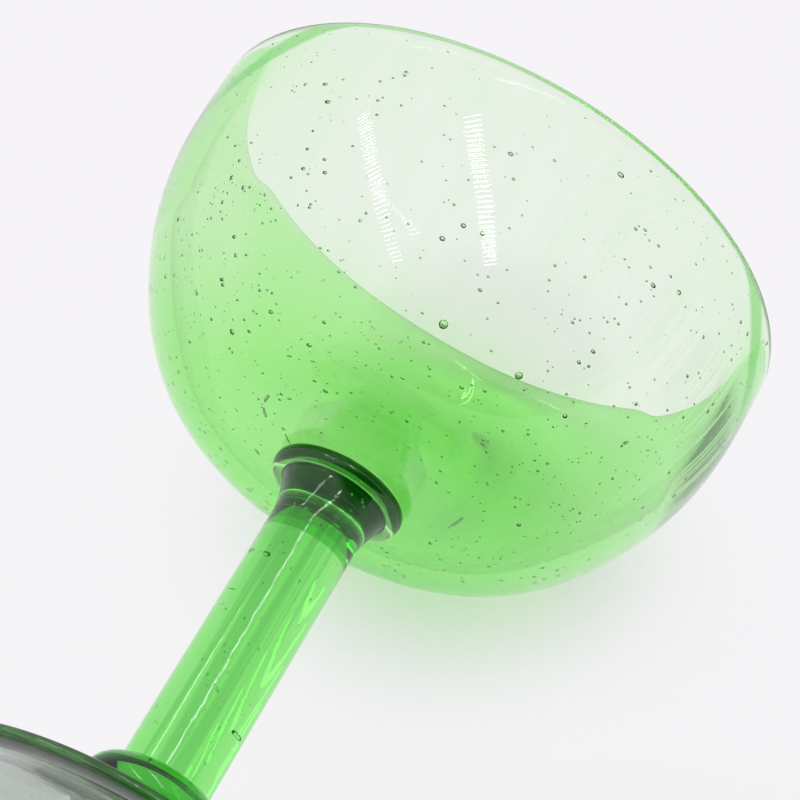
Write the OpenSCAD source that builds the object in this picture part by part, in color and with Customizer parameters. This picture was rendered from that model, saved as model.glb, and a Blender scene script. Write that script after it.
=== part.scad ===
// Hand-blown goblet of solid green glass: a wide blown bowl on a drawn stem and a low, hollow foot.
// Five pieces of glass, fused hot, that meet on flat seats along one upright axis.
// Millimetres, +Z up, with the origin on the axis in the plane that the foot stands on.

/* [Foot] */
// Diameter of the foot
foot_d = 80; // [60:0.5:90]
// Thickness of the foot's rounded edge
foot_edge_t = 2.2; // [1.6:0.1:4]
// Height of the foot's crown, where the foot collar sits
foot_crown_h = 10.2; // [9:0.1:18]
// How far the foot's upper face swells above a straight cone
foot_dome = 0.3; // [0:0.1:2.5]
// Width of the flat ring that the foot stands on
foot_ring_w = 3; // [2:0.1:8]
// Depth of the hollow under the foot
foot_hollow_h = 6.6; // [3:0.1:7.5]

/* [Foot collar] */
// Diameter of the collar between foot and stem
foot_collar_d = 24.4; // [20:0.1:30]
// Height of the foot collar, whose edge is fully round
foot_collar_h = 8; // [4.5:0.1:9]

/* [Stem] */
// Diameter of the stem at the foot collar
stem_foot_d = 15.9; // [12:0.1:18]
// Diameter of the stem at the bowl collar
stem_bowl_d = 15.4; // [12:0.1:18]
// Length of the stem between the collars
stem_l = 54.6; // [30:0.1:110]
// Diameter of the stem's flared end, where the bowl collar begins
neck_d = 17; // [14:0.1:19]
// Length of the flare at the stem's end
neck_h = 4.6; // [3:0.1:10]

/* [Bowl collar] */
// Diameter of the collar between stem and bowl
bowl_collar_d = 24; // [20:0.1:30]
// Height of the bowl collar
bowl_collar_h = 6.1; // [4.5:0.1:9]
// Thickness of the bead around the bowl collar's edge
bowl_collar_bead_t = 3.2; // [2:0.1:4]

/* [Bowl] */
// Diameter of the mouth, outside
rim_d = 107; // [85:0.5:125]
// Height of the bowl from its base to the lip
bowl_h = 57.6; // [50:0.1:100]
// Diameter of the belly, outside, where the curve meets the wall
belly_d = 104.8; // [85:0.1:125]
// Height of the belly above the bowl's base
belly_h = 33.8; // [26:0.1:44]
// Diameter of the flat base
base_d = 47.5; // [34:0.5:60]
// Reach of the base's curve, as a share of the way out to the belly
base_pull = 0.42; // [0.3:0.01:0.6]
// Reach of the belly's curve, as a share of the way down to the base
belly_pull = 0.36; // [0.3:0.01:0.6]

/* [Glass] */
// Thickness of the bowl's floor
floor_t = 5.2; // [4:0.1:8]
// Reach of the floor's curve, as a share of the way out to the wall
floor_pull = 0.85; // [0.6:0.01:0.9]
// Thickness of the bowl's wall at the belly
wall_t = 4.4; // [3:0.1:5.5]
// Thickness of the fire-polished lip
lip_t = 4.4; // [3:0.1:5]

/* [Hidden] */
$fn = 128;
curve_steps = 24;
wall_steps = 8;
lip_steps = 10;
glass_green = [0.42, 0.85, 0.33, 0.55];
collar_green = [0.20, 0.55, 0.22, 0.65];

// Ledge of the foot's seat beyond the collar that stands on it
seat_ledge = 0.6;

// Angle on the bowl collar's bead where its flare ends, and reach of a flare's curve
bead_a = -112;
flare_pull = 0.35;

// Slope of the glass away from upright at the stem's neck and under the bead
neck_a = 18;
flare_a = 34;

// Heights of the seats, from the table up
foot_collar_z = foot_crown_h;
stem_z = foot_collar_z + foot_collar_h;
bowl_collar_z = stem_z + stem_l;
bowl_z = bowl_collar_z + bowl_collar_h;

// Points along a cubic curve from a to d, drawn towards b and c
function curve(a, b, c, d, steps) =
    [for (i = [0:steps]) let (t = i / steps, s = 1 - t)
        s * s * s * a + 3 * s * s * t * b + 3 * s * t * t * c + t * t * t * d];

// Points along an arc about a centre, from one angle to another
function arc(centre, radius, from, to, steps) =
    [for (i = [0:steps]) let (angle = from + (to - from) * i / steps)
        centre + radius * [cos(angle), sin(angle)]];

// The same points, from the last to the first
function reversed(points) = [for (i = [len(points) - 1:-1:0]) points[i]];

// The same points without the first
function rest(points) = [for (i = [1:len(points) - 1]) points[i]];

// One side of the bowl's wall: level at its base, out to the belly, then curving upright to the lip
function bowl_line(base, pull, belly_r, lip_r, lip_h) =
    let (
        belly = [belly_r, belly_h],
        lip = [lip_r, lip_h],
        knee = [lip_r, (belly_h + lip_h) / 2],
        rise = (knee - belly) / norm(knee - belly),
        out = [pull * (belly_r - base.x), 0],
        down = belly_pull * (belly_h - base.y) * rise
    )
    concat(
        curve(base, base + out, belly - down, belly, curve_steps),
        rest(curve(belly, (belly + 2 * knee) / 3, (lip + 2 * knee) / 3, lip, wall_steps))
    );

// A flaring line that leaves its start at one slope from upright and ends at another
function flare(start, end, start_a, end_a) =
    let (pull = flare_pull * norm(end - start))
    curve(
        start,
        start + pull * [sin(start_a), cos(start_a)],
        end - pull * [sin(end_a), cos(end_a)],
        end,
        curve_steps
    );

// A blown disc: hollow below, standing on a flat ring, crowned with a flat seat
module foot() {
    foot_r = foot_d / 2;
    edge_r = foot_edge_t / 2;
    ring_r = foot_r - edge_r - foot_ring_w;
    hollow_r = (ring_r * ring_r + foot_hollow_h * foot_hollow_h) / (2 * foot_hollow_h);
    hollow_a = asin(ring_r / hollow_r);
    hollow_c = [0, foot_hollow_h - hollow_r];
    seat = [foot_collar_d / 2 + seat_ledge, foot_crown_h];
    edge_top = [foot_r - edge_r, foot_edge_t];
    swell = [0, foot_dome * 4 / 3];
    color(glass_green)
        rotate_extrude()
            polygon(concat(
                arc(hollow_c, hollow_r, 90, 90 - hollow_a, curve_steps),
                arc([foot_r - edge_r, edge_r], edge_r, -90, 90, lip_steps),
                curve(
                    edge_top,
                    (2 * edge_top + seat) / 3 + swell,
                    (edge_top + 2 * seat) / 3 + swell,
                    seat,
                    curve_steps
                ),
                [[0, foot_crown_h]]
            ));
}

// The lower collar: a ring of glass with a round edge, between the foot's crown and the stem
module foot_collar() {
    edge_r = foot_collar_h / 2;
    color(collar_green)
        translate([0, 0, foot_collar_z])
            rotate_extrude()
                polygon(concat(
                    [[0, 0]],
                    arc([foot_collar_d / 2 - edge_r, edge_r], edge_r, -90, 90, curve_steps),
                    [[0, foot_collar_h]]
                ));
}

// A drawn rod, a little thinner at the bowl, where its end flares out to the collar
module stem() {
    waist = [stem_bowl_d / 2, stem_l - neck_h];
    neck = [neck_d / 2, stem_l];
    color(glass_green)
        translate([0, 0, stem_z])
            rotate_extrude()
                polygon(concat(
                    [[0, 0], [stem_foot_d / 2, 0]],
                    flare(waist, neck, 0, neck_a),
                    [[0, stem_l]]
                ));
}

// The upper collar: a trumpet of glass with a bead around its edge, pressed against the bowl
module bowl_collar() {
    bead_r = bowl_collar_bead_t / 2;
    bead_c = [bowl_collar_d / 2 - bead_r, bowl_collar_h - bead_r];
    bead = arc(bead_c, bead_r, bead_a, 90, curve_steps);
    color(collar_green)
        translate([0, 0, bowl_collar_z])
            rotate_extrude()
                polygon(concat(
                    [[0, 0]],
                    flare([neck_d / 2, 0], bead[0], neck_a, flare_a),
                    rest(bead),
                    [[0, bowl_collar_h]]
                ));
}

// The blown bowl: an even wall from the floor through the belly to a round, fire-polished lip
module bowl() {
    rim_r = rim_d / 2;
    lip_r = lip_t / 2;
    lip_h = bowl_h - lip_r;
    outside = bowl_line([base_d / 2, 0], base_pull, belly_d / 2, rim_r, lip_h);
    inside = bowl_line([0, floor_t], floor_pull, belly_d / 2 - wall_t, rim_r - lip_t, lip_h);
    lip = arc([rim_r - lip_r, lip_h], lip_r, 0, 180, lip_steps);
    color(glass_green)
        translate([0, 0, bowl_z])
            rotate_extrude()
                polygon(concat([[0, 0]], outside, rest(lip), rest(reversed(inside))));
}

foot();
foot_collar();
stem();
bowl_collar();
bowl();
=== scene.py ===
"""A hand-blown goblet of seeded green glass, laid on a pale table in a light tent.

The glass keeps the frame of its solids: metres, +Z up, the foot standing on z = 0. The table leans against
the foot and the belly of the bowl, as it does under a glass that lies on its side.
"""

import logging
import math
import random
from dataclasses import dataclass, field
from enum import Enum
from typing import Iterator, Mapping, Optional, Sequence, Union

import bpy
from mathutils import Matrix, Vector


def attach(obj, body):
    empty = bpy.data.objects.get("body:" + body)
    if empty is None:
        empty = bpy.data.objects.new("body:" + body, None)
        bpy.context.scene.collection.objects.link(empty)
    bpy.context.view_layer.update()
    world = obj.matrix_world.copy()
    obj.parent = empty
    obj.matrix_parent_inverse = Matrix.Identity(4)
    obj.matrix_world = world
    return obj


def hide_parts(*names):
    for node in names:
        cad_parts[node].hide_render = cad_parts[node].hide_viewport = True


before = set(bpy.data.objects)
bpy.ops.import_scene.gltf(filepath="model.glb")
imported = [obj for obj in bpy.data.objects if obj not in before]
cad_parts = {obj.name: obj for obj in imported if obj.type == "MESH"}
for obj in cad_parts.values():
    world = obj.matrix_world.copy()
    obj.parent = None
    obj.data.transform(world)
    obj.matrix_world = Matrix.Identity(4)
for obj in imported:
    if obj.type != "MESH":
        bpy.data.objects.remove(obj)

LOG = logging.getLogger("goblet")
BODY = "root"
FUSED = "fused"
MM = 0.001
UP = Vector((0.0, 0.0, 1.0))
WHITE = (1.0, 1.0, 1.0)
BLACK = (0.0, 0.0, 0.0)

# A fused face lies a seam deep under its seat, with a narrow step around it, and is known by its height
# within a slack, all in millimetres
SEAM = 0.01
SEAM_STEP = 0.05
LEVEL_SLACK = 0.001

# Steps along a turned curve, a flare and a small round edge, and how far a flare's ends pull its curve
CURVE_STEPS = 32
FLARE_STEPS = 24
EDGE_STEPS = 14
FLARE_PULL = 0.35

# Faces that a ray has met: more than none, and those of one wall
OVER_NONE = 0.5
ONE_WALL = 2.0

# Faces between which a ray loses its light, and the share that it loses
LOST = (4.0, 8.0)
LOST_SHARE = 0.9

# The rise of the tent's opening in degrees, and how far its brightest part leans away, for one up
OPENING_RISE = 15.0
LIGHT_LEAN = 0.15

# Turn from the camera to the table's side in degrees, and the point of the glass under the lamps in metres
TABLE_TURN = 161.19
UNDER_LAMPS = Vector((0.0, 0.0, 0.1))

# Bounces of a ray in the thick glass
BOUNCES = 32
GLOSSY_BOUNCES = 16

Point = tuple[float, float]
Span = tuple[float, float]
Triple = tuple[float, float, float]
Socket = bpy.types.NodeSocket
Feed = Union[Socket, float, Sequence[float]]
Feeds = Mapping[Union[str, int], Feed]


class Work(Enum):
    """What a math node works out from its numbers."""

    PLUS = "ADD"
    MINUS = "SUBTRACT"
    TIMES = "MULTIPLY"
    OVER = "DIVIDE"
    TIMES_PLUS = "MULTIPLY_ADD"
    REMAINDER = "MODULO"
    FRACTION = "FRACT"
    ABOVE = "GREATER_THAN"
    BELOW = "LESS_THAN"
    NEAR = "COMPARE"


class Aim(Enum):
    """What a vector node works out from its places or directions."""

    PLUS = "ADD"
    TIMES = "MULTIPLY"
    UNIT = "NORMALIZE"
    SIZE = "ABSOLUTE"
    DOT = "DOT_PRODUCT"
    APART = "DISTANCE"


class Run(Enum):
    """How a share runs between its two ends."""

    EVEN = "LINEAR"
    SOFT = "SMOOTHSTEP"


def select_only(*objects: bpy.types.Object) -> None:
    """Selects these objects alone, and makes the first one active."""
    bpy.ops.object.select_all(action="DESELECT")
    for item in objects:
        item.select_set(True)
    bpy.context.view_layer.objects.active = objects[0]


def between(a: Point, b: Point, share: float) -> Point:
    """Gives the point that lies a share of the way from one point to another."""
    return (a[0] + (b[0] - a[0]) * share, a[1] + (b[1] - a[1]) * share)


def leaning(start: Point, slope: float, reach: float) -> Point:
    """Gives the point at a reach from another, at a slope in degrees away from upright."""
    lean = math.radians(slope)
    return (start[0] + reach * math.sin(lean), start[1] + reach * math.cos(lean))


def bezier(points: Sequence[Point], steps: int) -> list[Point]:
    """Gives points along a curve that is drawn towards its control points.

    Args:
        points: Start, control points and end, as radius and height.
        steps: Number of steps.

    Returns:
        The points along the curve, with both ends.
    """
    curve = []
    for i in range(steps + 1):
        row = list(points)
        while len(row) > 1:
            row = [between(a, b, i / steps) for a, b in zip(row, row[1:])]
        curve.append(row[0])
    return curve


def arc(centre: Point, radius: float, first: float, last: float, steps: int) -> list[Point]:
    """Gives points along an arc.

    Args:
        centre: Centre, as radius and height.
        radius: Radius of the arc.
        first: Angle of the first point, in degrees.
        last: Angle of the last point, in degrees.
        steps: Number of steps along the arc.

    Returns:
        The points, ends included.
    """
    angles = [math.radians(first + (last - first) * i / steps) for i in range(steps + 1)]
    return [(centre[0] + radius * math.cos(a), centre[1] + radius * math.sin(a)) for a in angles]


def flare(start: Point, end: Point, first: float, last: float) -> list[Point]:
    """Gives points along a line that flares outwards.

    Args:
        start: Where the line starts, as radius and height.
        end: Where it ends.
        first: Slope away from upright at the start, in degrees.
        last: Slope away from upright at the end, in degrees.

    Returns:
        The points, with both ends.
    """
    reach = FLARE_PULL * math.dist(start, end)
    return bezier((start, leaning(start, first, reach), leaning(end, last, -reach), end), FLARE_STEPS)


def way_out(turn: float) -> Vector:
    """Gives the level direction away from the axis, at a turn in radians."""
    return Vector((math.cos(turn), math.sin(turn), 0.0))


def spot(out: Vector, reach: float, level: float) -> Vector:
    """Gives the place, in metres, at a reach along a direction and at a height, both in millimetres."""
    return (out * reach + Vector((0.0, 0.0, level))) * MM


@dataclass(frozen=True)
class Wiring:
    """The node tree of a material, world or group, with short ways to add its nodes."""

    tree: bpy.types.NodeTree

    @classmethod
    def of(cls, owner: Union[bpy.types.Material, bpy.types.World]) -> "Wiring":
        """Takes the node tree of a material or world, emptied."""
        owner.use_nodes = True
        owner.node_tree.nodes.clear()
        return cls(owner.node_tree)

    def node(self, kind: str, fed: Optional[Feeds] = None, **settings: object) -> bpy.types.Node:
        """Adds a node.

        Args:
            kind: Type of the node.
            fed: What goes into its inputs, by name or number: a socket to link, or a value to set.
            settings: Settings of the node itself.

        Returns:
            The node.
        """
        made = self.tree.nodes.new(kind)
        for name, setting in settings.items():
            setattr(made, name, setting)
        for name, value in (fed or {}).items():
            if isinstance(value, Socket):
                self.tree.links.new(value, made.inputs[name])
            else:
                made.inputs[name].default_value = value
        return made

    def math(self, work: Work, *numbers: Feed) -> Socket:
        """Works out a number from others."""
        return self.node("ShaderNodeMath", dict(enumerate(numbers)), operation=work.value).outputs["Value"]

    def vector(self, work: Aim, *vectors: Feed) -> Socket:
        """Works out a direction, place or number from directions and places."""
        made = self.node("ShaderNodeVectorMath", dict(enumerate(vectors)), operation=work.value)
        return made.outputs["Value" if work in (Aim.DOT, Aim.APART) else "Vector"]

    def times(self, *shares: Socket) -> Socket:
        """Multiplies shares."""
        total = shares[0]
        for share in shares[1:]:
            total = self.math(Work.TIMES, total, share)
        return total

    def band(self, level: Socket, low: float, high: float, start: Feed = 0.0, end: Feed = 1.0,
             run: Run = Run.SOFT) -> Socket:
        """Gives a share that runs from its start at one level to its end at another.

        Args:
            level: Socket of the level.
            low: Level of the start.
            high: Level of the end, which may be the lower one.
            start: Share at the start.
            end: Share at the end.
            run: How the share runs between them.

        Returns:
            The socket of the share.
        """
        fed = {"Value": level, "From Min": low, "From Max": high, "To Min": start, "To Max": end}
        return self.node("ShaderNodeMapRange", fed, interpolation_type=run.value).outputs["Result"]

    def blend(self, share: Socket, none: float, full: float) -> Socket:
        """Gives a number between two others, as far along as a share says."""
        return self.node("ShaderNodeMix", {"Factor": share, "A": none, "B": full}).outputs["Result"]

    def pick(self, share: Socket, none: Triple, full: Triple) -> Socket:
        """Gives a colour between two others, as far along as a share says."""
        fed = {"Factor": share, "A": (*none, 1.0), "B": (*full, 1.0)}
        return self.node("ShaderNodeMix", fed, data_type="RGBA").outputs["Result"]

    def tinted(self, colour: Socket, share: Socket, tint: Triple) -> Socket:
        """Multiplies a colour by a tint, as far as a share says."""
        fed = {"Factor": share, "A": colour, "B": (*tint, 1.0)}
        return self.node("ShaderNodeMix", fed, data_type="RGBA", blend_type="MULTIPLY").outputs["Result"]

    def shaders(self, share: Socket, none: Socket, full: Socket) -> Socket:
        """Mixes two shaders, as far as a share says."""
        return self.node("ShaderNodeMixShader", {"Fac": share, 1: none, 2: full}).outputs["Shader"]

    def noise(self, place: Socket, scale: float, detail: float) -> Socket:
        """Gives soft noise at a place."""
        fed = {"Vector": place, "Scale": scale, "Detail": detail}
        return self.node("ShaderNodeTexNoise", fed).outputs["Fac"]

    def place(self, kind: str = "Object") -> Socket:
        """Gives the place on the object, or the direction of a ray that leaves the scene."""
        return self.node("ShaderNodeTexCoord").outputs[kind]

    def scaled(self, place: Socket, size: Triple) -> Socket:
        """Gives a place times a size along each axis."""
        return self.node("ShaderNodeMapping", {"Vector": place, "Scale": size}).outputs["Vector"]

    def axis(self, place: Socket, name: str) -> Socket:
        """Gives one of the three parts of a place."""
        return self.node("ShaderNodeSeparateXYZ", {"Vector": place}).outputs[name]

    def ray(self, fact: str) -> Socket:
        """Gives a fact about the ray that meets the surface."""
        return self.node("ShaderNodeLightPath").outputs[fact]

    def behind(self) -> Socket:
        """Gives 1 where a ray meets the back of a face."""
        return self.node("ShaderNodeNewGeometry").outputs["Backfacing"]

    def around(self, place: Socket) -> Socket:
        """Gives a place by its direction from the axis and its height, so that cords run up the glass.

        Args:
            place: Socket of the place on the object.

        Returns:
            The socket of the direction, with the height as its third part.
        """
        direction = self.vector(Aim.UNIT, self.vector(Aim.TIMES, place, (1.0, 1.0, 0.0)))
        height = self.vector(Aim.SIZE, self.vector(Aim.TIMES, place, (0.0, 0.0, 1.0)))
        return self.vector(Aim.PLUS, direction, height)


@dataclass(frozen=True)
class Seat:
    """A flat face where two pieces of glass are fused."""

    height: float
    radius: float


@dataclass
class Lathe:
    """Turns half an outline about the upright axis, as glass is turned on the iron."""

    steps: int = 192
    merge: float = 1e-7
    crease: float = math.radians(40.0)

    def turn(self, name: str, outline: Sequence[Point]) -> bpy.types.Object:
        """Extrudes one vertex along the outline and spins it into a closed skin.

        Args:
            name: Name of the new object.
            outline: Points as radius and height in millimetres, from the axis back to the axis.

        Returns:
            The turned object, at the origin.
        """
        bpy.ops.object.select_all(action="DESELECT")
        bpy.ops.mesh.primitive_plane_add(size=MM)
        skin = bpy.context.active_object
        skin.name = name
        skin.data.name = name
        bpy.ops.object.mode_set(mode="EDIT")
        bpy.ops.mesh.select_all(action="SELECT")
        bpy.ops.mesh.merge(type="CENTER")
        last = (0.0, 0.0)
        for number, point in enumerate(outline):
            move = ((point[0] - last[0]) * MM, 0.0, (point[1] - last[1]) * MM)
            if number == 0:
                bpy.ops.transform.translate(value=move)
            else:
                bpy.ops.mesh.extrude_region_move(TRANSFORM_OT_translate={"value": move})
            last = point
        bpy.ops.mesh.select_all(action="SELECT")
        bpy.ops.mesh.spin(steps=self.steps, angle=math.tau, center=(0, 0, 0), axis=(0, 0, 1))
        bpy.ops.mesh.select_all(action="SELECT")
        bpy.ops.mesh.remove_doubles(threshold=self.merge)
        bpy.ops.mesh.normals_make_consistent(inside=False)
        bpy.ops.object.mode_set(mode="OBJECT")
        bpy.ops.object.shade_smooth_by_angle(angle=self.crease)
        return skin

    def mark_seats(self, skin: bpy.types.Object, seats: Sequence[Seat]) -> None:
        """Marks the faces where the glass runs on into the next piece.

        Args:
            skin: The turned object.
            seats: Seats of the object, in millimetres.
        """
        marks = skin.data.attributes.new(FUSED, "FLOAT", "FACE")
        for face in skin.data.polygons:
            reach = math.hypot(face.center.x, face.center.y)
            for seat in seats:
                level = abs(face.center.z - seat.height * MM) < LEVEL_SLACK * MM
                if level and reach < seat.radius * MM:
                    marks.data[face.index].value = 1.0


@dataclass(frozen=True)
class Seed:
    """One air seed: where its middle is, and how far it reaches along each way."""

    middle: Vector
    out: Vector
    along: Vector
    reach: Triple

    def matrix(self) -> Matrix:
        """Gives the matrix that puts a ball of radius 1 in the seed's place."""
        out = self.out.normalized()
        along = (self.along - out * self.along.dot(out)).normalized()
        across = out.cross(along)
        turn = Matrix((out, along, across)).transposed().to_4x4()
        size = Matrix.Diagonal((*self.reach, 1.0))
        return Matrix.Translation(self.middle) @ turn @ size


@dataclass(frozen=True)
class SeedSize:
    """How large seeds come out: their usual radius in millimetres, and its spread."""

    usual: float
    spread: float

    def draw(self, dice: random.Random, most: float) -> float:
        """Draws a radius, no larger than the most that the glass has room for."""
        return min(most, dice.lognormvariate(math.log(self.usual), self.spread))


@dataclass
class Seeds:
    """Air seeds in the glass, as small hollows that are part of the skin."""

    segments: int = 8
    rings: int = 6
    large_fine: int = 2

    def model(self, fine: int) -> bpy.types.Object:
        """Models one seed as a ball of radius 1 whose faces look into the hollow.

        Args:
            fine: How many times as many faces the ball has each way.

        Returns:
            The pattern to copy.
        """
        bpy.ops.object.select_all(action="DESELECT")
        bpy.ops.mesh.primitive_uv_sphere_add(
            segments=self.segments * fine, ring_count=self.rings * fine, radius=1.0
        )
        ball = bpy.context.active_object
        bpy.ops.object.mode_set(mode="EDIT")
        bpy.ops.mesh.select_all(action="SELECT")
        bpy.ops.mesh.flip_normals()
        bpy.ops.object.mode_set(mode="OBJECT")
        bpy.ops.object.shade_smooth()
        return ball

    def sow(self, skin: bpy.types.Object, seeds: Sequence[Seed], fine: int = 1) -> None:
        """Joins copies of one seed to a skin.

        Args:
            skin: The skin that takes the seeds.
            seeds: Where the seeds go.
            fine: How many times as many faces a seed has each way.
        """
        if not seeds:
            return
        pattern = self.model(fine)
        copies = []
        for seed in seeds:
            copy = pattern.copy()
            copy.data = pattern.data.copy()
            copy.data.transform(seed.matrix())
            bpy.context.collection.objects.link(copy)
            copies.append(copy)
        bpy.data.objects.remove(pattern)
        select_only(skin, *copies)
        bpy.ops.object.join()


@dataclass(frozen=True)
class GlassSkin:
    """The skin that all the glasses share: a soft ripple, faint cords and a bloom along them.

    The ripple and the cords are noise, given by scale and detail.
    """

    name: str = "glass_skin"
    wave: Span = (1.0, 2.0)
    cords: Span = (2.3, 3.0)
    tints: tuple[tuple[float, Triple], ...] = ((0.3, (0.93, 1.0, 0.92)), (0.7, WHITE))
    bloom: float = 0.02

    def group(self) -> bpy.types.NodeTree:
        """Makes, or finds, the node group of the skin."""
        made = bpy.data.node_groups.get(self.name)
        if made:
            return made
        group = bpy.data.node_groups.new(self.name, "ShaderNodeTree")
        group.interface.new_socket("Place", in_out="INPUT", socket_type="NodeSocketVector")
        for name, kind in (("Tint", "Color"), ("Ripple", "Float"), ("Bloom", "Float")):
            group.interface.new_socket(name, in_out="OUTPUT", socket_type="NodeSocket" + kind)
        wires = Wiring(group)
        place = wires.node("NodeGroupInput").outputs["Place"]
        cords = wires.noise(place, *self.cords)
        tint = wires.node("ShaderNodeValToRGB", {"Fac": cords})
        for stop, (position, colour) in zip(tint.color_ramp.elements, self.tints):
            stop.color = (*colour, 1.0)
            stop.position = position
        wires.node("NodeGroupOutput", {
            "Tint": tint.outputs["Color"],
            "Ripple": wires.noise(place, *self.wave),
            "Bloom": wires.band(cords, 0.0, 1.0, end=self.bloom, run=Run.EVEN),
        })
        return group


@dataclass(frozen=True)
class GlassFinish:
    """Clear green glass: tinted in its depth, with faint cords, a soft ripple on its skin and painted shade.

    A tint multiplies the colour of the glass, so that white is none. A span gives the levels, in metres over
    the foot's ring or as a share, where an effect begins and where it is full. The edge's start and run are
    given for height and slant, and noise by its scale and detail.
    """

    name: str
    absorbed: Triple
    cord_size: Triple
    skin: GlassSkin = GlassSkin()
    refraction: float = 1.5
    ripple: float = 0.00002
    ripple_above: Span = (-0.01, 0.0)
    # Darker towards the bottom; on the foot it greys the whole piece as painted shade
    low_tint_and_shade: Triple = WHITE
    low_tint_and_shade_below: Span = (0.1, 0.078)
    # Painted shadow: a deeper green in the light that the glass throws on the table
    shade: Triple = WHITE
    # Painted shade: darker light turned back in the wall near the lip
    turned: Triple = WHITE
    turned_above: Span = (0.126, 0.133)
    # Painted shade: dark streaks in light turned back in the upper wall, most of them on one side
    painted_dark_streak: Triple = WHITE
    streak_above: Span = (0.104, 0.112)
    streak_below: Span = (0.128, 0.12)
    # The side that takes most of the painted shade
    painted_shade_side: Triple = (-0.5, 0.866, 0.0)
    streak_size: Triple = (48.0, 48.0, 10.0)
    streak_noise: Span = (1.0, 3.0)
    streak_edges: Span = (0.56, 0.76)
    streak_lean: float = 0.2
    # Painted shade: a darker band down one side of a piece
    painted_band_shade: Triple = WHITE
    edge: Triple = WHITE
    edge_from: Span = (0.1244, 0.72)
    edge_run: Span = (0.01, 0.266)
    edge_above: Span = (-0.04, 0.1)
    edge_below: Span = (0.62, 0.42)
    edge_slant: Span = (0.9, 0.78)
    lip_below: Span = (0.135, 0.134)

    def _painted_shade_streaks(self, wires: Wiring, place: Socket) -> Socket:
        """Gives the share of painted shade: streaks that run up the glass, most of them on one side.

        Args:
            wires: Wiring of the material.
            place: Socket of the place on the object.

        Returns:
            The socket of the streaks' share.
        """
        around = wires.around(place)
        cords = wires.noise(wires.scaled(around, self.streak_size), *self.streak_noise)
        side = wires.vector(Aim.DOT, around, self.painted_shade_side)
        lean = wires.math(Work.TIMES_PLUS, side, self.streak_lean, cords)
        return wires.band(lean, *self.streak_edges)

    def _edge(self, wires: Wiring, level: Socket) -> Socket:
        """Gives the crescents by the lip, where the wall is seen at a slant and its depth shows green.

        Args:
            wires: Wiring of the material.
            level: Socket of the height on the object.

        Returns:
            The socket of the crescents' share.
        """
        slant = wires.node("ShaderNodeLayerWeight").outputs["Facing"]
        parts = [
            wires.math(Work.TIMES_PLUS, fact, 1.0 / run, -start / run)
            for fact, start, run in zip((level, slant), self.edge_from, self.edge_run)
        ]
        total = wires.math(Work.PLUS, *parts)
        return wires.times(
            wires.ray("Is Camera Ray"),
            wires.band(total, *self.edge_above),
            wires.band(total, *self.edge_below),
            wires.band(slant, *self.edge_slant),
            wires.band(level, *self.lip_below),
        )

    def _tints_and_painted_shade(self, wires: Wiring, place: Socket, tint: Socket) -> Socket:
        """Deepens a tint low in the glass, lays on the crescents, and paints shade: a deeper green shadow in
        light thrown on the table, darker light turned back in a wall, dark streaks and a dark band.

        A ray leaves the wall that it entered at an odd depth, unless the wall turned it back inside.

        Args:
            wires: Wiring of the material.
            place: Socket of the place on the object.
            tint: Socket of the tint to deepen.

        Returns:
            The socket of the deepened tint.
        """
        level = wires.axis(place, "Z")
        thrown = wires.math(Work.ABOVE, wires.ray("Diffuse Depth"), OVER_NONE)
        odd = wires.math(Work.REMAINDER, wires.ray("Ray Depth"), ONE_WALL)
        back = wires.math(Work.ABOVE, wires.behind(), odd)
        # The share of the painted dark streaks on the bowl and of the painted shade band down the stem
        cords = self._painted_shade_streaks(wires, place)
        high, low = wires.band(level, *self.streak_above), wires.band(level, *self.streak_below)
        for share, colour in (
            # darker towards the bottom, which on the foot is painted shade
            (wires.band(level, *self.low_tint_and_shade_below), self.low_tint_and_shade),
            # painted shadow: a deeper green in light thrown on the table
            (thrown, self.shade),
            # painted shade: darker light turned back in the wall near the lip
            (wires.times(back, wires.band(level, *self.turned_above)), self.turned),
            # painted shade: dark streaks in light turned back in the upper wall
            (wires.times(back, cords, high, low), self.painted_dark_streak),
            # painted shade: a darker band down one side of the stem
            (cords, self.painted_band_shade),
            (self._edge(wires, level), self.edge),
        ):
            tint = wires.tinted(tint, share, colour)
        return tint

    def material(self) -> bpy.types.Material:
        """Makes, or finds, the material of this finish."""
        made = bpy.data.materials.get(self.name)
        if made:
            return made
        material = bpy.data.materials.new(self.name)
        wires = Wiring.of(material)
        place = wires.place()
        scaled = wires.scaled(wires.around(place), self.cord_size)
        skin = wires.node("ShaderNodeGroup", {"Place": scaled}, node_tree=self.skin.group())
        upper = wires.band(wires.axis(place, "Z"), *self.ripple_above, run=Run.EVEN)
        swell = wires.times(skin.outputs["Ripple"], upper)
        bump = wires.node("ShaderNodeBump", {"Height": swell, "Distance": self.ripple})
        fused = wires.node("ShaderNodeAttribute", attribute_name=FUSED).outputs["Fac"]
        glass = wires.node("ShaderNodeBsdfPrincipled", {
            "Transmission Weight": 1.0,
            "Metallic": 0.0,
            "Base Color": self._tints_and_painted_shade(wires, place, skin.outputs["Tint"]),
            "Roughness": skin.outputs["Bloom"],
            "Normal": bump.outputs["Normal"],
            "IOR": wires.band(fused, 0.0, 1.0, self.refraction, 1.0, Run.EVEN),
        })
        most = max(self.absorbed)
        passed = (*(1.0 - a / most for a in self.absorbed), 1.0)
        depth = wires.node("ShaderNodeVolumeAbsorption", {"Color": passed, "Density": most})
        wires.node("ShaderNodeOutputMaterial", {
            "Surface": glass.outputs["BSDF"],
            "Volume": depth.outputs["Volume"],
        })
        return material


# The bowl's dark streaks, on one side of its upper wall, are painted shade
BLOWN_GLASS = GlassFinish(
    "blown_green_glass", absorbed=(60.0, 4.0, 82.0), cord_size=(6.0, 6.0, 20.0), ripple=0.000005,
    ripple_above=(0.1, 0.114), low_tint_and_shade=(0.74, 0.99, 0.61), shade=(0.72, 0.94, 0.56),
    turned=(0.8, 0.97, 0.78), painted_dark_streak=(0.05, 0.075, 0.055), edge=(0.2, 0.68, 0.14),
)
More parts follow.
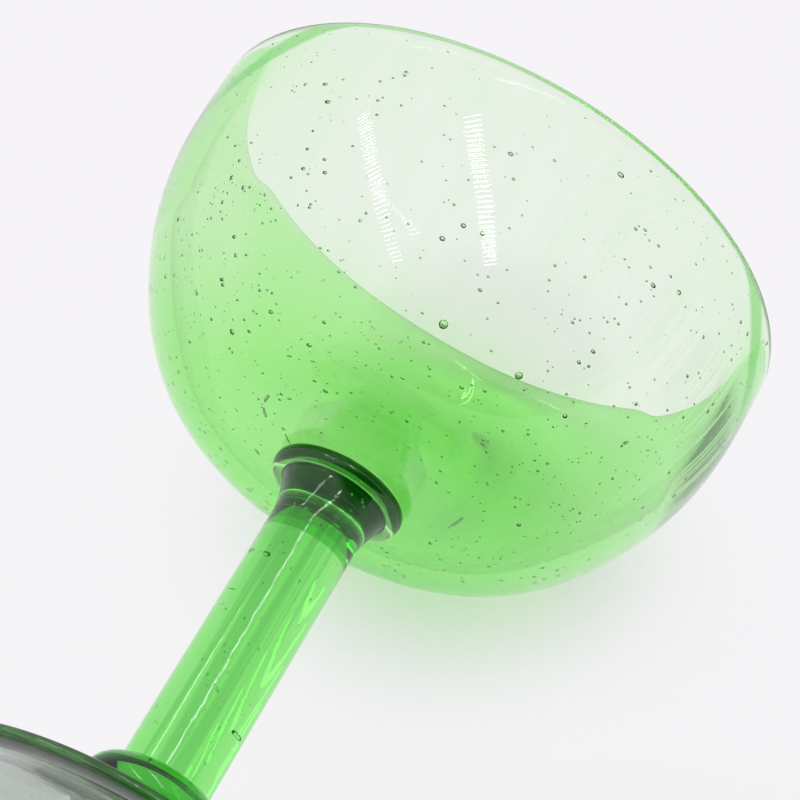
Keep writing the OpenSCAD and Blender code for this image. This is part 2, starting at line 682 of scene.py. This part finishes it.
# The stem's darker band, down the side that faces the camera, is painted shade
DRAWN_GLASS = GlassFinish(
    "drawn_green_glass", absorbed=(102.0, 10.0, 128.0), cord_size=(5.0, 5.0, 25.0), ripple=0.00001,
    painted_band_shade=(0.5, 0.62, 0.56), painted_shade_side=(0.866, 0.5, 0.0), streak_size=(3.0, 3.0, 6.0),
    streak_edges=(1.36, 1.46), streak_lean=1.0,
)
# The foot's grey all over is painted shade
FOOT_GLASS = GlassFinish(
    "foot_green_glass", absorbed=(14.0, 2.5, 16.0), cord_size=(12.0, 12.0, 30.0),
    low_tint_and_shade=(0.42, 0.52, 0.405), low_tint_and_shade_below=(0.03, 0.02),
)
PRESSED_GLASS = GlassFinish("pressed_green_glass", absorbed=(66.0, 6.0, 82.0), cord_size=(5.0, 5.0, 60.0))
GATHERED_GLASS = GlassFinish(
    "gathered_green_glass", absorbed=(92.0, 14.0, 112.0), cord_size=(5.0, 5.0, 60.0),
    low_tint_and_shade=(0.35, 0.62, 0.33), low_tint_and_shade_below=(0.04, 0.03),
)


@dataclass
class Piece:
    """One piece of glass, with its sizes in millimetres: what every piece shares."""

    name: str
    finish: GlassFinish
    lathe: Lathe = field(default_factory=Lathe)
    seeds: Seeds = field(default_factory=Seeds)

    def outline(self) -> list[Point]:
        """Gives half the piece's outline, from the axis back to the axis."""
        raise NotImplementedError

    def seats(self) -> list[Seat]:
        """Gives the faces where the piece is fused to its neighbours."""
        raise NotImplementedError

    def air(self, dice: random.Random) -> Iterator[Seed]:
        """Gives the small seeds in the piece.

        Args:
            dice: Seeded source of chance.

        Returns:
            The seeds, one by one.
        """
        raise NotImplementedError

    def large_air(self) -> Sequence[Seed]:
        """Gives the seeds that are large enough to show their shape."""
        return ()

    def build(self) -> bpy.types.Object:
        """Turns the skin, marks its seats, sows its seeds and dresses it.

        Returns:
            The finished piece, riding on the frame in place of its solid.
        """
        skin = self.lathe.turn(self.name, self.outline())
        self.lathe.mark_seats(skin, self.seats())
        self.seeds.sow(skin, list(self.air(random.Random(self.name))))
        self.seeds.sow(skin, list(self.large_air()), self.seeds.large_fine)
        skin.data.materials.clear()
        skin.data.materials.append(self.finish.material())
        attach(skin, BODY)
        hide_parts(self.name.removesuffix("_glass"))
        LOG.info("%s: %d faces", skin.name, len(skin.data.polygons))
        return skin


@dataclass
class Foot(Piece):
    """A blown disc, hollow below, that stands on a flat ring."""

    diameter: float = 80.0
    edge: float = 2.2
    crown: float = 10.2
    dome: float = 0.3
    ring: float = 3.0
    hollow: float = 6.6
    seat_radius: float = 12.8
    fused_radius: float = 8.1
    seed_count: int = 70
    seed_size: SeedSize = SeedSize(0.2, 0.4)
    seed_reach: float = 35.0
    seed_depth: Span = (0.3, 0.7)
    seed_room: float = 0.22
    seed_shape: Triple = (0.8, 1.0, 1.3)
    hollow_reach: float = 35.9
    slope_reach: float = 26.1

    def outline(self) -> list[Point]:
        """Gives half the outline of the foot."""
        edge_r = self.edge / 2
        out = self.diameter / 2 - edge_r
        ring_r = out - self.ring
        curve_r = (ring_r ** 2 + self.hollow ** 2) / (2 * self.hollow)
        spread = math.degrees(math.asin(ring_r / curve_r))
        swell = self.dome * 4 / 3
        top = (out, self.edge)
        seat = (self.seat_radius, self.crown)
        near = ((2 * top[0] + seat[0]) / 3, (2 * top[1] + seat[1]) / 3 + swell)
        far = ((top[0] + 2 * seat[0]) / 3, (top[1] + 2 * seat[1]) / 3 + swell)
        level = self.crown - SEAM
        return [
            *arc((0.0, self.hollow - curve_r), curve_r, 90.0, 90.0 - spread, CURVE_STEPS),
            *arc((out, edge_r), edge_r, -90.0, 90.0, EDGE_STEPS),
            *bezier((top, near, far, seat), CURVE_STEPS)[1:],
            (self.fused_radius + SEAM_STEP, self.crown),
            (self.fused_radius, level),
            (0.0, level),
        ]

    def seats(self) -> list[Seat]:
        """Gives the crown, where the foot collar sits."""
        return [Seat(self.crown - SEAM, self.fused_radius)]

    def air(self, dice: random.Random) -> Iterator[Seed]:
        """Gives seeds through the disc.

        Args:
            dice: Seeded source of chance.

        Returns:
            The seeds, one by one.
        """
        for _ in range(self.seed_count):
            reach = self.seed_reach * math.sqrt(dice.random())
            out = way_out(dice.random() * math.tau)
            low = self.hollow * (1.0 - (reach / self.hollow_reach) ** 2)
            slope = max(0.0, reach - self.seat_radius) * (self.crown - self.edge) / self.slope_reach
            high = self.crown - slope
            level = low + (high - low) * dice.uniform(*self.seed_depth)
            size = self.seed_size.draw(dice, self.seed_room * (high - low)) * MM
            yield Seed(spot(out, reach, level), UP, out, tuple(part * size for part in self.seed_shape))


@dataclass(kw_only=True)
class Collar(Piece):
    """A ring of glass around the stem's end: what both collars share."""

    diameter: float
    height: float
    low: float
    seed_reach: float
    seed_margin: float
    seed_sizes: Span
    seed_count: int = 14
    seed_stretch: float = 1.5

    def air(self, dice: random.Random) -> Iterator[Seed]:
        """Gives a few seeds in the ring.

        Args:
            dice: Seeded source of chance.

        Returns:
            The seeds, one by one.
        """
        for _ in range(self.seed_count):
            reach = self.seed_reach * math.sqrt(dice.random())
            out = way_out(dice.random() * math.tau)
            level = self.low + dice.uniform(self.seed_margin, self.height - self.seed_margin)
            size = dice.uniform(*self.seed_sizes) * MM
            yield Seed(spot(out, reach, level), out, UP, (size, self.seed_stretch * size, size))


@dataclass
class RoundCollar(Collar):
    """A ring of glass with a fully round edge, between the foot's crown and the stem."""

    diameter: float = 24.4
    height: float = 8.0
    low: float = 10.2
    stem_radius: float = 7.9
    edge_from: float = -88.0
    seed_reach: float = 8.0
    seed_margin: float = 1.0
    seed_sizes: Span = (0.1, 0.25)

    def outline(self) -> list[Point]:
        """Gives half the outline of the ring."""
        edge_r = self.height / 2
        flat = self.diameter / 2 - edge_r
        top = self.height - SEAM
        half = [
            (0.0, SEAM),
            (flat, SEAM),
            *arc((flat, edge_r), edge_r, self.edge_from, 90.0, CURVE_STEPS),
            (self.stem_radius + SEAM_STEP, self.height),
            (self.stem_radius, top),
            (0.0, top),
        ]
        return [(r, self.low + h) for r, h in half]

    def seats(self) -> list[Seat]:
        """Gives the two ends of the ring."""
        return [
            Seat(self.low + SEAM, self.diameter / 2),
            Seat(self.low + self.height - SEAM, self.stem_radius),
        ]


@dataclass
class BeadedCollar(Collar):
    """A trumpet of glass that flares from the stem to a bead pressed against the bowl."""

    diameter: float = 24.0
    height: float = 6.1
    low: float = 74.1
    neck: float = 17.0
    neck_slope: float = 18.0
    bead: float = 3.2
    bead_from: float = -112.0
    bead_to: float = 84.0
    flare_slope: float = 34.0
    seed_reach: float = 7.0
    seed_margin: float = 0.8
    seed_sizes: Span = (0.08, 0.2)

    def outline(self) -> list[Point]:
        """Gives half the outline of the trumpet."""
        neck_r = self.neck / 2
        bead_r = self.bead / 2
        centre = (self.diameter / 2 - bead_r, self.height - bead_r)
        bead = arc(centre, bead_r, self.bead_from, self.bead_to, CURVE_STEPS)
        top = self.height - SEAM
        half = [
            (0.0, SEAM),
            (neck_r, SEAM),
            *flare((neck_r, 2 * SEAM), bead[0], self.neck_slope, self.flare_slope),
            *bead[1:],
            (centre[0], top),
            (0.0, top),
        ]
        return [(r, self.low + h) for r, h in half]

    def seats(self) -> list[Seat]:
        """Gives the two ends of the trumpet."""
        return [
            Seat(self.low + SEAM, self.neck / 2),
            Seat(self.low + self.height - SEAM, self.diameter / 2),
        ]


@dataclass
class Stem(Piece):
    """A drawn rod, a little thinner at the bowl, where its end flares out to the collar."""

    foot_diameter: float = 15.9
    bowl_diameter: float = 15.4
    neck: float = 17.0
    neck_height: float = 4.6
    neck_slope: float = 18.0
    low: float = 18.2
    length: float = 55.9
    side_steps: int = 24
    seed_count: int = 90
    seed_size: SeedSize = SeedSize(0.08, 0.4)
    seed_most: float = 0.16
    seed_reach: float = 6.9
    seed_level: Span = (0.03, 0.97)
    seed_stretch: Span = (1.5, 4.0)

    def outline(self) -> list[Point]:
        """Gives half the outline of the stem."""
        high = self.length - SEAM
        waist = (self.bowl_diameter / 2, self.length - self.neck_height)
        end = (self.neck / 2, high)
        side = []
        for i in range(self.side_steps):
            share = i / self.side_steps
            radius = self.foot_diameter / 2 * (1.0 - share) + waist[0] * share
            side.append((radius, SEAM + (waist[1] - SEAM) * share))
        half = [(0.0, SEAM), *side, *flare(waist, end, 0.0, self.neck_slope), (0.0, high)]
        return [(r, self.low + h) for r, h in half]

    def seats(self) -> list[Seat]:
        """Gives the two ends of the stem."""
        return [
            Seat(self.low + SEAM, self.foot_diameter / 2),
            Seat(self.low + self.length - SEAM, self.neck / 2),
        ]

    def air(self, dice: random.Random) -> Iterator[Seed]:
        """Gives seeds that were drawn out along the stem.

        Args:
            dice: Seeded source of chance.

        Returns:
            The seeds, one by one.
        """
        for _ in range(self.seed_count):
            reach = self.seed_reach * math.sqrt(dice.random())
            out = way_out(dice.random() * math.tau)
            size = self.seed_size.draw(dice, self.seed_most) * MM
            level = self.low + self.length * dice.uniform(*self.seed_level)
            shape = (size, dice.uniform(*self.seed_stretch) * size, size)
            yield Seed(spot(out, reach, level), out, UP, shape)


@dataclass
class Bowl(Piece):
    """A blown cup whose floor thins to an even wall, through the belly to a fire-polished lip.

    A bubble is given by its direction in degrees, its height over the base and its radius.
    """

    base: float = 80.2
    height: float = 56.3
    rim: float = 107.0
    base_end: Point = (14.0, 0.0)
    level_to: Point = (32.35, 0.0)
    shoulder: Point = (41.16, -2.26)
    belly: Point = (55.99, 31.28)
    upright_from: float = 34.4
    floor: float = 5.9
    wall: float = 4.2
    wall_from: float = 24.0
    wall_steps: int = 80
    lip: float = 4.2
    fused_radius: float = 10.3
    seed_count: int = 1300
    seed_size: SeedSize = SeedSize(0.14, 0.45)
    seed_depth: Span = (0.3, 0.7)
    seed_room: float = 0.12
    seed_stray: Span = (-0.4, 0.4)
    seed_flat: float = 0.75
    seed_stretch: Span = (1.0, 1.6)
    bubble_flat: float = 0.4
    bubbles: tuple[Triple, ...] = (
        (-27.7, 25.3, 0.42),
        (-23.6, 23.5, 0.4),
        (-29.1, 21.6, 0.34),
        (30.9, 13.8, 0.75),
        (51.0, 14.1, 0.65),
        (-27.3, 5.9, 0.5),
        (66.0, 40.5, 0.42),
        (87.9, 48.9, 0.42),
        (76.7, 39.5, 0.32),
        (5.8, 21.4, 0.3),
        (-17.8, 41.9, 0.34),
        (93.7, 39.6, 0.3),
        (-23.1, 13.9, 0.35),
    )

    def outside(self) -> list[Point]:
        """Gives the outside of the wall, from the level base through the belly to the upright lip."""
        lip = (self.rim / 2, self.height - self.lip / 2)
        upright = (lip[0], self.upright_from)
        bends = (self.base_end, self.level_to, self.shoulder, self.belly, upright, lip)
        return bezier(bends, self.wall_steps)

    def inside(self) -> list[Point]:
        """Gives the inside of the wall: at each point of the outside, one across the glass from it."""
        outer = self.outside()
        inner = []
        for i, (reach, level) in enumerate(outer):
            before, after = outer[max(i - 1, 0)], outer[min(i + 1, len(outer) - 1)]
            run = math.dist(before, after)
            thick = self.floor + (self.wall - self.floor) * min(1.0, level / self.wall_from)
            across = ((before[1] - after[1]) / run, (after[0] - before[0]) / run)
            inner.append((reach + thick * across[0], level + thick * across[1]))
        return inner

    def outline(self) -> list[Point]:
        """Gives half the outline of the bowl."""
        lip_r = self.lip / 2
        centre = (self.rim / 2 - lip_r, self.height - lip_r)
        half = [
            (0.0, SEAM),
            (self.fused_radius, SEAM),
            (self.fused_radius + SEAM_STEP, 0.0),
            *self.outside(),
            *arc(centre, lip_r, 0.0, 180.0, EDGE_STEPS)[1:-1],
            *reversed(self.inside()),
            (0.0, self.floor),
        ]
        return [(r, self.base + h) for r, h in half]

    def seats(self) -> list[Seat]:
        """Gives the middle of the base, where the bowl collar is pressed on."""
        return [Seat(self.base + SEAM, self.fused_radius)]

    def through(self, out: Vector, outer: Point, inner: Point) -> Vector:
        """Gives the direction through the wall, in the upright plane of a direction."""
        return out * (outer[0] - inner[0]) + Vector((0.0, 0.0, outer[1] - inner[1]))

    def large_air(self) -> list[Seed]:
        """Gives the larger bubbles, in the middle of the wall."""
        found = []
        walls = list(zip(self.outside(), self.inside()))
        for turn, height, radius in self.bubbles:
            outer, inner = min(walls, key=lambda wall: abs(wall[0][1] + wall[1][1] - 2 * height))
            out = way_out(math.radians(turn))
            middle = spot(out, (outer[0] + inner[0]) / 2, self.base + height)
            reach = (self.bubble_flat * radius * MM, radius * MM, radius * MM)
            found.append(Seed(middle, self.through(out, outer, inner), UP, reach))
        return found

    def air(self, dice: random.Random) -> Iterator[Seed]:
        """Gives seeds through the wall and the floor.

        Args:
            dice: Seeded source of chance.

        Returns:
            The seeds, one by one.
        """
        walls = list(zip(self.outside(), self.inside()))
        weights = [outer[0] * math.dist(outer, walls[max(i - 1, 0)][0]) for i, (outer, _) in enumerate(walls)]
        for outer, inner in dice.choices(walls, weights, k=self.seed_count):
            share = dice.uniform(*self.seed_depth)
            size = self.seed_size.draw(dice, self.seed_room * math.dist(outer, inner)) * MM
            out = way_out(dice.random() * math.tau)
            reach = outer[0] + (inner[0] - outer[0]) * share
            level = self.base + outer[1] + (inner[1] - outer[1]) * share + dice.uniform(*self.seed_stray)
            shape = (self.seed_flat * size, size, dice.uniform(*self.seed_stretch) * size)
            yield Seed(spot(out, reach, level), self.through(out, outer, inner), UP, shape)


@dataclass(frozen=True)
class Table:
    """The table that the glass lies on, which leans against foot and belly in the frame of the glass.

    Its own places are in metres to the right and away. Seen through both walls of the bowl it is paler on
    one side, as painted light, and greener on the other, as a painted shadow; seen through one wall it is a
    little burnt out, as painted light.
    """

    side: float
    camera: Vector
    lean: float = 6.337
    clear: float = 39.8
    half_width: float = 4.0
    colour: Triple = (0.90, 0.88, 0.91)
    # Painted light: the glow fills the glass's shadow, most of all away from where the bowl touches the table
    glow: Triple = (0.92, 0.90, 0.93)
    glow_share: float = 0.93
    glow_away: Span = (-0.01, 0.04)
    shadow_share: float = 0.15
    shadow_middle: Triple = (0.069, 0.094, 0.0)
    shadow_reach: Span = (0.0, 0.055)
    # Painted light: the table seen through one wall is brightened
    burn: Triple = (1.19, 1.0, 1.27)
    # Painted light: seen through both walls, the table is paler on one side
    pale: Triple = (1.2, 1.0, 1.27)
    pale_across: Span = (0.042, 0.026)
    pale_away: Span = (0.112, 0.145)
    # Painted shadow: seen through both walls, the table is greener on the other side
    painted_shadow: Triple = (0.8, 0.97, 0.76)
    painted_shadow_across: Span = (0.088, 0.105)
    walls: float = 3.5

    def normal(self) -> Vector:
        """Gives the direction that is up on the table."""
        turn, lean = math.radians(self.side), math.radians(self.lean)
        return Vector((-math.cos(lean) * math.cos(turn), -math.cos(lean) * math.sin(turn), math.sin(lean)))

    def away(self) -> Vector:
        """Gives the level direction away from the camera."""
        up = self.normal()
        return (up * self.camera.dot(up) - self.camera).normalized()

    def right(self) -> Vector:
        """Gives the level direction to the camera's right."""
        return self.away().cross(self.normal())

    def way(self, right: float, away: float, up: float) -> Vector:
        """Gives a direction by its shares to the right, away from the camera and up."""
        return (self.right() * right + self.away() * away + self.normal() * up).normalized()

    def turn(self) -> Matrix:
        """Gives the matrix from the table's axes to those of the glass."""
        return Matrix((self.right(), self.away(), self.normal())).transposed()

    def build(self) -> bpy.types.Object:
        """Lays the table top, which shows from above only.

        Returns:
            The table top.
        """
        bpy.ops.object.select_all(action="DESELECT")
        bpy.ops.mesh.primitive_plane_add(size=2 * self.half_width)
        top = bpy.context.active_object
        top.name = "table_top"
        top.matrix_world = Matrix.Translation(-self.normal() * self.clear * MM) @ self.turn().to_4x4()
        top.data.materials.append(self.material())
        return top

    def material(self) -> bpy.types.Material:
        """Makes the pale paper of the table, whose glow is painted light filling the shadow away from the
        bowl.
        """
        paper = bpy.data.materials.new("table_paper")
        wires = Wiring.of(paper)
        place = wires.place()
        across, away = wires.axis(place, "X"), wires.axis(place, "Y")
        depth = wires.ray("Ray Depth")
        apart = wires.vector(Aim.APART, place, self.shadow_middle)
        # painted light: the glow's share grows away from where the bowl touches the table
        most = wires.band(apart, *self.shadow_reach, self.shadow_share, self.glow_share)
        one_wall = wires.math(Work.NEAR, depth, ONE_WALL, OVER_NONE)
        both_walls = wires.math(Work.ABOVE, depth, self.walls)
        # painted light on one side and a painted green shadow on the other, seen through both walls
        pale = wires.times(
            both_walls, wires.band(across, *self.pale_across), wires.band(away, *self.pale_away)
        )
        painted_shadow = wires.times(both_walls, wires.band(across, *self.painted_shadow_across))
        shown = []
        for colour in (self.colour, self.glow):
            seen = wires.pick(one_wall, colour, tuple(c * b for c, b in zip(colour, self.burn)))
            seen = wires.tinted(seen, pale, self.pale)
            shown.append(wires.tinted(seen, painted_shadow, self.painted_shadow))
        matt = wires.node("ShaderNodeBsdfDiffuse", {"Color": shown[0]}).outputs["BSDF"]
        glow = wires.node("ShaderNodeEmission", {"Color": shown[1]}).outputs["Emission"]
        lit = wires.shaders(wires.band(away, *self.glow_away, end=most), matt, glow)
        black = wires.node("ShaderNodeBsdfDiffuse", {"Color": (*BLACK, 1.0)}).outputs["BSDF"]
        lost = wires.band(depth, *LOST, end=LOST_SHARE, run=Run.EVEN)
        clear = wires.node("ShaderNodeBsdfTransparent").outputs["BSDF"]
        whole = wires.shaders(wires.behind(), wires.shaders(lost, lit, black), clear)
        wires.node("ShaderNodeOutputMaterial", {"Surface": whole})
        return paper


@dataclass(frozen=True)
class LedBar:
    """A bar of small lamps on the roof of the tent, seen only where it is mirrored in the glass."""

    name: str
    across: float
    near: float
    far: float
    roof: float = 0.5
    width: float = 0.045
    pitch: float = 0.0165
    lamp: float = 0.2
    mirrored: float = 26.0
    seen_through: float = 2.0

    def build(self, table: Table, under: Vector) -> bpy.types.Object:
        """Hangs the bar over a point of the glass.

        Args:
            table: The table, which gives the axes of the tent.
            under: The point that the bar is placed over.

        Returns:
            The bar.
        """
        bpy.ops.object.select_all(action="DESELECT")
        bpy.ops.mesh.primitive_plane_add(size=1.0)
        bar = bpy.context.active_object
        bar.name = self.name
        middle = Vector((self.across, (self.near + self.far) / 2, 1.0)) * self.roof
        size = Matrix.Diagonal((self.width, (self.far - self.near) * self.roof, 1.0))
        bar.data.transform(size.to_4x4())
        bar.matrix_world = Matrix.Translation(under + table.turn() @ middle) @ table.turn().to_4x4()
        bar.data.materials.append(self.material())
        bar.visible_camera = False
        bar.visible_diffuse = False
        bar.visible_shadow = False
        return bar

    def material(self) -> bpy.types.Material:
        """Makes the row of lamps, bright in a mirrored ray and faint in one that comes through glass."""
        lamps = bpy.data.materials.new(self.name)
        wires = Wiring.of(lamps)
        along = wires.math(Work.OVER, wires.axis(wires.place(), "Y"), self.pitch)
        lit = wires.math(Work.BELOW, wires.math(Work.FRACTION, along), self.lamp)
        power = wires.blend(wires.ray("Is Glossy Ray"), self.seen_through, self.mirrored)
        straight = wires.math(Work.BELOW, wires.ray("Diffuse Depth"), OVER_NONE)
        light = wires.node("ShaderNodeEmission", {"Strength": wires.times(power, lit, straight)})
        clear = wires.node("ShaderNodeBsdfTransparent")
        both = wires.node("ShaderNodeAddShader", {0: light.outputs["Emission"], 1: clear.outputs["BSDF"]})
        wires.node("ShaderNodeOutputMaterial", {"Surface": both.outputs["Shader"]})
        return lamps


@dataclass(frozen=True)
class LightTent:
    """A white tent, brightest overhead, with a dark opening where the camera looks in.

    A span gives the cosines, towards the way up or the opening, where an effect begins and where it is full.
    """

    up: Vector
    opening: Vector
    overhead: float = 2.9
    sides: float = 0.4
    overhead_from: Span = (0.65, 0.98)
    dark: float = 0.04
    front_light: float = 0.25
    front_from: Span = (0.2, 0.8)
    backdrop: Triple = (0.92, 0.905, 0.93)
    opening_angle: float = 42.0
    opening_soft: float = 14.0

    def _share(self, wires: Wiring, way: Vector, low: float, high: float) -> Socket:
        """Gives how far a direction lies towards a way, from 0 at one cosine to 1 at the other.

        Args:
            wires: Wiring of the world.
            way: The way to compare with.
            low: Cosine where the share is 0.
            high: Cosine where the share is 1.

        Returns:
            The socket that holds the share.
        """
        return wires.band(wires.vector(Aim.DOT, wires.place("Generated"), way.normalized()), low, high)

    def build(self) -> bpy.types.World:
        """Makes the world: white cloth, bright overhead, with the dark opening.

        Returns:
            The world.
        """
        world = bpy.data.worlds.new("light_tent")
        bpy.context.scene.world = world
        wires = Wiring.of(world)
        wide = math.cos(math.radians(self.opening_angle + self.opening_soft))
        narrow = math.cos(math.radians(self.opening_angle - self.opening_soft))
        cloth = wires.blend(self._share(wires, self.up, *self.overhead_from), self.sides, self.overhead)
        ahead = wires.blend(self._share(wires, self.opening, *self.front_from), 1.0, self.front_light)
        unseen = wires.math(Work.MINUS, 1.0, wires.ray("Is Camera Ray"))
        gate = wires.times(self._share(wires, self.opening, wide, narrow), unseen)
        front = wires.blend(gate, 1.0, self.dark)
        lost = wires.band(wires.ray("Ray Depth"), *LOST, 1.0, 1.0 - LOST_SHARE, Run.EVEN)
        lighting = wires.math(Work.ABOVE, wires.ray("Diffuse Depth"), OVER_NONE)
        plain, light = (
            wires.node("ShaderNodeBackground", {"Color": (*colour, 1.0), "Strength": wires.times(*shares)})
            for colour, shares in ((self.backdrop, (front, lost)), (WHITE, (cloth, ahead)))
        )
        shown = wires.shaders(lighting, plain.outputs["Background"], light.outputs["Background"])
        wires.node("ShaderNodeOutputWorld", {"Surface": shown})
        return world


@dataclass(frozen=True)
class PhotoCamera:
    """The camera, low on the foot's side of the glass, rolled as the table lies level to it."""

    azimuth: float = 30.0
    out: float = 583.86
    height: float = -202.46
    aim_across: float = 1.003
    aim_height: float = 99.509
    roll: float = -31.005
    lens: float = 175.037
    sensor: float = 36.0
    clip: Span = (0.01, 20.0)

    def place(self) -> Vector:
        """Gives the camera's place, in metres."""
        turn = math.radians(self.azimuth)
        return Vector((self.out * math.cos(turn), self.out * math.sin(turn), self.height)) * MM

    def aim(self) -> Vector:
        """Gives the point that the camera looks at, in metres."""
        turn = math.radians(self.azimuth)
        across = Vector((-math.sin(turn), math.cos(turn), 0.0))
        return spot(across, self.aim_across, self.aim_height)

    def build(self) -> bpy.types.Object:
        """Makes the camera and hands it to the scene.

        Returns:
            The camera.
        """
        data = bpy.data.cameras.new("photo_camera")
        data.lens = self.lens
        data.sensor_width = self.sensor
        data.clip_start, data.clip_end = self.clip
        camera = bpy.data.objects.new("photo_camera", data)
        bpy.context.collection.objects.link(camera)
        look = (self.aim() - self.place()).to_track_quat("-Z", "Y").to_matrix()
        roll = Matrix.Rotation(math.radians(-self.roll), 3, "Z")
        camera.matrix_world = Matrix.Translation(self.place()) @ (look @ roll).to_4x4()
        bpy.context.scene.camera = camera
        return camera


def main() -> None:
    """Builds the glass, the table, the tent and the camera."""
    logging.basicConfig(level=logging.INFO, format="%(name)s %(message)s")
    scene = bpy.context.scene
    scene.view_settings.view_transform = "Standard"
    scene.cycles.max_bounces = BOUNCES
    scene.cycles.transmission_bounces = BOUNCES
    scene.cycles.glossy_bounces = GLOSSY_BOUNCES
    scene.cycles.transparent_max_bounces = BOUNCES
    scene.cycles.blur_glossy = 0.0
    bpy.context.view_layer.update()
    goblet: list[Piece] = [
        Foot("foot_glass", FOOT_GLASS),
        RoundCollar("foot_collar_glass", GATHERED_GLASS),
        Stem("stem_glass", DRAWN_GLASS),
        BeadedCollar("bowl_collar_glass", PRESSED_GLASS),
        Bowl("bowl_glass", BLOWN_GLASS),
    ]
    for piece in goblet:
        piece.build()
    camera = PhotoCamera()
    camera.build()
    table = Table(side=camera.azimuth + TABLE_TURN, camera=camera.place())
    table.build()
    rise = math.radians(OPENING_RISE)
    opening = table.way(0.0, -math.cos(rise), math.sin(rise))
    LightTent(up=table.way(0.0, LIGHT_LEAN, 1.0), opening=opening).build()
    LedBar("left_lamps", across=-0.5, near=-0.45, far=0.75).build(table, UNDER_LAMPS)
    LedBar("right_lamps", across=0.13, near=-0.6, far=0.4).build(table, UNDER_LAMPS)


if __name__ == "__main__":
    main()
